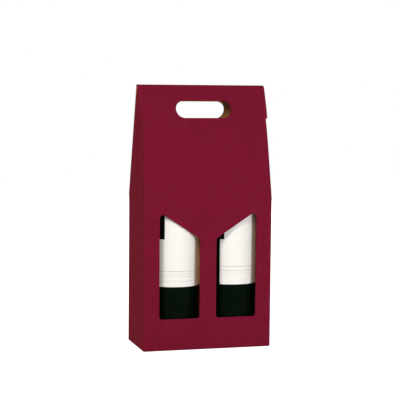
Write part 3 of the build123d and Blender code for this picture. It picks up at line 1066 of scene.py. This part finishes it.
# Bottles, turned about their own axes; radius outward and height up from the foot
GLASS_WALL = 3.2
NECK_RADIUS = 14.0
BORE_RADIUS = 9.3
LIP_RADIUS = 14.8
LIP_HEIGHT = 7.0
LIP_UNDERCUT = 1.0
LIP_ROUND = 0.9
SHOULDER_HEIGHT = 188.0
SHOULDER_CONVEX = 32.0
SHOULDER_CONCAVE = 18.0
HEEL_RADIUS = 5.0
PUNT_RADIUS = 27.0
PUNT_HEIGHT = 18.0
PUNT_RIM_ROUND = 1.0
INNER_HEEL = 6.0
FILL_DROP = 60.0
CORK_LENGTH = 44.0
CORK_DROP = 1.0
CORK_ROUND = 0.6
CAPSULE_LENGTH = 58.0
CAPSULE_SKIN = 0.35
CAPSULE_NECK_ROUND = 0.3
RING_RADIUS = 10.5
RING_WIDTH = 1.1
RING_DEPTH = 0.15
SKIN_GAP = 0.05
BOTTLE_ARC_STEP = math.radians(5)
BOTTLE_STEPS = 128
bottle_low, bottle_high = node_box("left_bottle_glass")
bottle_radius = (bottle_high[0] - bottle_low[0]) / 2
bottle_height = bottle_high[2] - bottle_low[2]
lip_z = bottle_height - LIP_HEIGHT


def shoulder_corners(body, neck, convex, concave):
    """Where the body's line, the slope between the two arcs and the neck's line meet."""
    turn = math.acos(1 - (body - neck) / (convex + concave))
    tangent = math.tan(turn / 2)
    lower = Vector((body, SHOULDER_HEIGHT + convex * tangent))
    upper = lower + Vector((-math.sin(turn), math.cos(turn))) * (convex + concave) * tangent
    return [tuple(lower), tuple(upper)]


def dome(rim_radius, rim_z):
    """Crown, corner and rim of the punt, with the radius of the arc at its corner."""
    crown = rim_z + PUNT_HEIGHT
    corner = (rim_radius ** 2 + PUNT_HEIGHT ** 2) / (2 * rim_radius)
    return [(0, crown), (corner, crown), (rim_radius, rim_z)], corner * rim_radius / PUNT_HEIGHT


def inner_line(top_z):
    """Inside of the glass from a height in the neck down to the punt's crown."""
    radius = bottle_radius - GLASS_WALL
    convex = SHOULDER_CONVEX - GLASS_WALL
    concave = SHOULDER_CONCAVE + GLASS_WALL
    lower, upper = shoulder_corners(radius, BORE_RADIUS, convex, concave)
    punt, punt_arc = dome(radius - INNER_HEEL, GLASS_WALL)
    points = [(BORE_RADIUS, top_z), upper, lower, (radius, GLASS_WALL)] + punt[::-1]
    return points, [0, concave - WELD, convex - WELD, INNER_HEEL - WELD, 0, punt_arc - WELD, 0]


def turned(name, corners, radii, middle, foot, material):
    """Closed solid of revolution about an upright axis."""
    section = rounded(corners, radii, BOTTLE_ARC_STEP)
    count = len(section)
    body = Body()
    for i in range(BOTTLE_STEPS):
        angle = 2 * math.pi * i / BOTTLE_STEPS
        out = Vector((math.sin(angle), -math.cos(angle)))
        body.points += [(middle.x + out.x * r, middle.y + out.y * r, foot + z) for r, z in section]
    for i in range(BOTTLE_STEPS):
        here = i * count
        there = (i + 1) % BOTTLE_STEPS * count
        for k in range(count):
            after = (k + 1) % count
            if section[k][0] < WELD and section[after][0] < WELD:
                continue
            body.faces.append([here + k, there + k, there + after, here + after])
            body.finishes.append(0)
    return body.build(name, [material], weld=True)


def glass_bottle(side, middle, foot):
    punt, punt_arc = dome(PUNT_RADIUS, 0)
    lower, upper = shoulder_corners(bottle_radius, NECK_RADIUS, SHOULDER_CONVEX, SHOULDER_CONCAVE)
    inside, inside_radii = inner_line(bottle_height)
    corners = punt + [
        (bottle_radius, 0),
        lower,
        upper,
        (NECK_RADIUS, lip_z - LIP_UNDERCUT),
        (LIP_RADIUS, lip_z),
        (LIP_RADIUS, bottle_height),
    ]
    radii = [0, punt_arc - WELD, PUNT_RIM_ROUND, HEEL_RADIUS, SHOULDER_CONVEX - WELD, SHOULDER_CONCAVE - WELD]
    radii += [0, 0, LIP_ROUND]
    return turned(side + "_glass", corners + inside, radii + inside_radii, middle, foot, GLASS_FINISH)


def wine_fill(side, middle, foot):
    top = bottle_height - FILL_DROP
    points, radii = inner_line(top)
    shrunk = [(max(0, r - SKIN_GAP), z) for r, z in points]
    return turned(side + "_wine_fill", shrunk + [(0, top)], radii + [0], middle, foot, WINE_FINISH)


def cork_stopper(side, middle, foot):
    top = bottle_height - CORK_DROP
    bottom = top - CORK_LENGTH
    radius = BORE_RADIUS - SKIN_GAP
    corners = [(0, bottom), (radius, bottom), (radius, top), (0, top)]
    return turned(side + "_stopper", corners, [0, CORK_ROUND, CORK_ROUND, 0], middle, foot, CORK_FINISH)


def capsule_skin(side, middle, foot):
    """Skin over the lip and neck, with one plain ring pressed into its top."""
    top = bottle_height + SKIN_GAP
    neck = NECK_RADIUS + SKIN_GAP
    lip = LIP_RADIUS + SKIN_GAP
    outer_top = top + CAPSULE_SKIN
    low = bottle_height - CAPSULE_LENGTH
    ring_top = outer_top - RING_DEPTH
    inner = RING_RADIUS - RING_WIDTH / 2
    outer = RING_RADIUS + RING_WIDTH / 2
    corners = [
        (0, outer_top),
        (inner - RING_DEPTH, outer_top),
        (inner, ring_top),
        (outer, ring_top),
        (outer + RING_DEPTH, outer_top),
        (lip + CAPSULE_SKIN, outer_top),
        (lip + CAPSULE_SKIN, lip_z),
        (neck + CAPSULE_SKIN, lip_z - LIP_UNDERCUT),
        (neck + CAPSULE_SKIN, low),
        (neck, low),
        (neck, lip_z - LIP_UNDERCUT),
        (lip, lip_z),
        (lip, top),
        (0, top),
    ]
    radii = [0] * 5 + [LIP_ROUND, CAPSULE_NECK_ROUND, CAPSULE_NECK_ROUND] + [0] * 6
    return turned(side + "_capsule_skin", corners, radii, middle, foot, CAPSULE_FINISH)


# Stepped paper labels, measured round the bottle and up from its foot
LABEL_SKIN = 0.2
LABEL_WIDTH = 80.0
LABEL_TOP_WIDTHS = {"left": 62.5, "right": 68.0}
LABEL_BOTTOMS = {"left": 78.7, "right": 79.8}
LABEL_STEPS = {"left": 143.2, "right": 141.8}
LABEL_TOP = 184.0
LABEL_CORNER = 1.0
LABEL_COLUMN = 1.2
LABEL_ANGLES = {"left": math.radians(16.0), "right": math.radians(23.0)}

# Rules on the labels: height above the floor and half the thickness
LABEL_RULES = {
    "left": [(107.0, 0.35), (103.0, 0.2), (99.6, 0.15), (93.4, 0.15)],
    "right": [(111.6, 0.35), (106.0, 0.3), (101.9, 0.15)],
}


def paper_label(side, middle, foot):
    radius = bottle_radius + SKIN_GAP
    half = LABEL_WIDTH / 2
    top_half = LABEL_TOP_WIDTHS[side] / 2
    step = LABEL_STEPS[side]
    right = [(half, LABEL_BOTTOMS[side]), (half, step), (top_half, step), (top_half, LABEL_TOP)]
    radii = [LABEL_CORNER, LABEL_CORNER, 0, LABEL_CORNER]

    def place(u, v, w):
        angle = LABEL_ANGLES[side] + u / radius
        out = radius + LABEL_SKIN - w
        return middle.x + out * math.sin(angle), middle.y - out * math.cos(angle), foot + v

    sheet = flat_sheet([rounded(with_mirror(right), radii + radii[::-1])], column=LABEL_COLUMN)
    body = Body()
    body.add_ply(sheet, place, lambda u: 0, lambda u: LABEL_SKIN, (0, 0, 0))
    return body.build(side + "_paper_label", [label_paper(side + "_label_paper", LABEL_RULES[side])])


def bottle(side):
    low, high = node_box(side + "_bottle_glass")
    middle = Vector(((low[0] + high[0]) / 2, (low[1] + high[1]) / 2))
    makers = {
        "glass": (glass_bottle, "bottle_glass"),
        "wine": (wine_fill, "wine"),
        "cork": (cork_stopper, "cork"),
        "capsule": (capsule_skin, "capsule"),
        "label": (paper_label, "label_paper"),
    }
    for part, (make, slot) in makers.items():
        piece = make(side, middle, low[2])
        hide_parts(side + "_bottle_" + part)
        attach(piece, side + "_bottle")


bottle("left")
bottle("right")

# Camera of the photograph, fitted to the carton's corners; its place is in metres
CAMERA_PLACE = (-0.5126, -1.7762, 0.3654)
CAMERA_YAW = math.radians(-16.111)
CAMERA_PITCH = math.radians(-5.118)
CAMERA_ROLL = math.radians(0.569)
FOCAL_PIXELS = 1345.3
FRAME_PIXELS = 400
SENSOR = 36.0


def photo_camera():
    data = bpy.data.cameras.new("photo_camera")
    data.sensor_width = SENSOR
    data.lens = FOCAL_PIXELS / FRAME_PIXELS * SENSOR
    camera = bpy.data.objects.new("photo_camera", data)
    level = Vector((math.cos(CAMERA_YAW), math.sin(CAMERA_YAW), 0))
    ahead = Vector((-math.sin(CAMERA_YAW), math.cos(CAMERA_YAW), 0))
    forward = ahead * math.cos(CAMERA_PITCH) + Vector((0, 0, math.sin(CAMERA_PITCH)))
    upright = level.cross(forward)
    right = level * math.cos(CAMERA_ROLL) + upright * math.sin(CAMERA_ROLL)
    up = upright * math.cos(CAMERA_ROLL) - level * math.sin(CAMERA_ROLL)
    turn = Matrix((right, up, -forward)).transposed().to_4x4()
    camera.matrix_world = Matrix.Translation(CAMERA_PLACE) @ turn
    bpy.context.scene.collection.objects.link(camera)
    bpy.context.scene.camera = camera


# Studio: each lamp's place and size in metres, its watts and its colour
LAMPS = {
    "high_key": ((-1.16, -1.54, 1.44), 0.7, 30, (1.0, 0.99, 0.93)),
    "low_key": ((0.62, -2.08, 0.2), 0.4, 20.5, (1.0, 1.0, 1.1)),
    "side": ((-1.6, 0.3, 0.1), 0.8, 8, (1.0, 0.8, 0.3)),
    "right": ((1.7, 0.2, 0.5), 1.0, 11, (1.0, 1.0, 1.0)),
    "back": ((0.7, 1.7, 1.2), 1.4, 24, (1.0, 1.0, 1.0)),
}
LAMP_AIM = (0, 0, 0.18)
WORLD_STRENGTH = 0.04
FLOOR_HALF = 3000.0
FLOOR_DROP = 0.2
FLOOR_LIFT = 0.97


def soft_lamp(name, place, size, watts, colour):
    data = bpy.data.lights.new(name, "AREA")
    data.shape = "SQUARE"
    data.size = size
    data.energy = watts
    data.color = colour
    lamp = bpy.data.objects.new(name, data)
    lamp.location = place
    aim = Vector(LAMP_AIM) - Vector(place)
    lamp.rotation_euler = aim.to_track_quat("-Z", "Y").to_euler()
    bpy.context.scene.collection.objects.link(lamp)


def seen_directly(tree):
    """1 for rays that should meet plain white: from the camera, in gloss and through glass."""
    path = tree.nodes.new("ShaderNodeLightPath")
    total = path.outputs["Is Camera Ray"]
    for name in ("Is Glossy Ray", "Is Transmission Ray"):
        either = tree.nodes.new("ShaderNodeMath")
        either.operation = "MAXIMUM"
        tree.links.new(total, either.inputs[0])
        tree.links.new(path.outputs[name], either.inputs[1])
        total = either.outputs[0]
    return total


def studio():
    """World that lights softly and looks plain white, and the lamps."""
    world = bpy.data.worlds.new("studio")
    world.use_nodes = True
    tree = world.node_tree
    lit = tree.nodes["Background"]
    lit.inputs["Color"].default_value = (1, 1, 1, 1)
    lit.inputs["Strength"].default_value = WORLD_STRENGTH
    plain = tree.nodes.new("ShaderNodeBackground")
    plain.inputs["Color"].default_value = (1, 1, 1, 1)
    plain.inputs["Strength"].default_value = 1.0
    mix = tree.nodes.new("ShaderNodeMixShader")
    tree.links.new(seen_directly(tree), mix.inputs["Fac"])
    tree.links.new(lit.outputs[0], mix.inputs[1])
    tree.links.new(plain.outputs[0], mix.inputs[2])
    tree.links.new(mix.outputs[0], tree.nodes["World Output"].inputs["Surface"])
    bpy.context.scene.world = world
    for name, lamp in LAMPS.items():
        soft_lamp(name, *lamp)


def pale_floor():
    body = Body()
    right = [(FLOOR_HALF, -FLOOR_HALF), (FLOOR_HALF, FLOOR_HALF)]
    body.points = [(x, y, -FLOOR_DROP) for x, y in with_mirror(right)]
    body.faces = [[0, 1, 2, 3]]
    body.finishes = [0]
    nodes = Nodes("pale_floor")
    grain = nodes.noise(scale=40, detail=3)
    nodes.shade(
        Base_Color=nodes.ramp(grain, (0.3, grey(0.7)), (0.7, grey(0.72))),
        Roughness=0.9,
        Specular_IOR_Level=0.0,
        Emission_Color=(1, 1, 1),
        Emission_Strength=nodes.maths("MULTIPLY", seen_directly(nodes.tree), FLOOR_LIFT),
    )
    body.build("pale_floor", [nodes.material])


photo_camera()
studio()
pale_floor()
bpy.context.scene.view_settings.view_transform = "Standard"
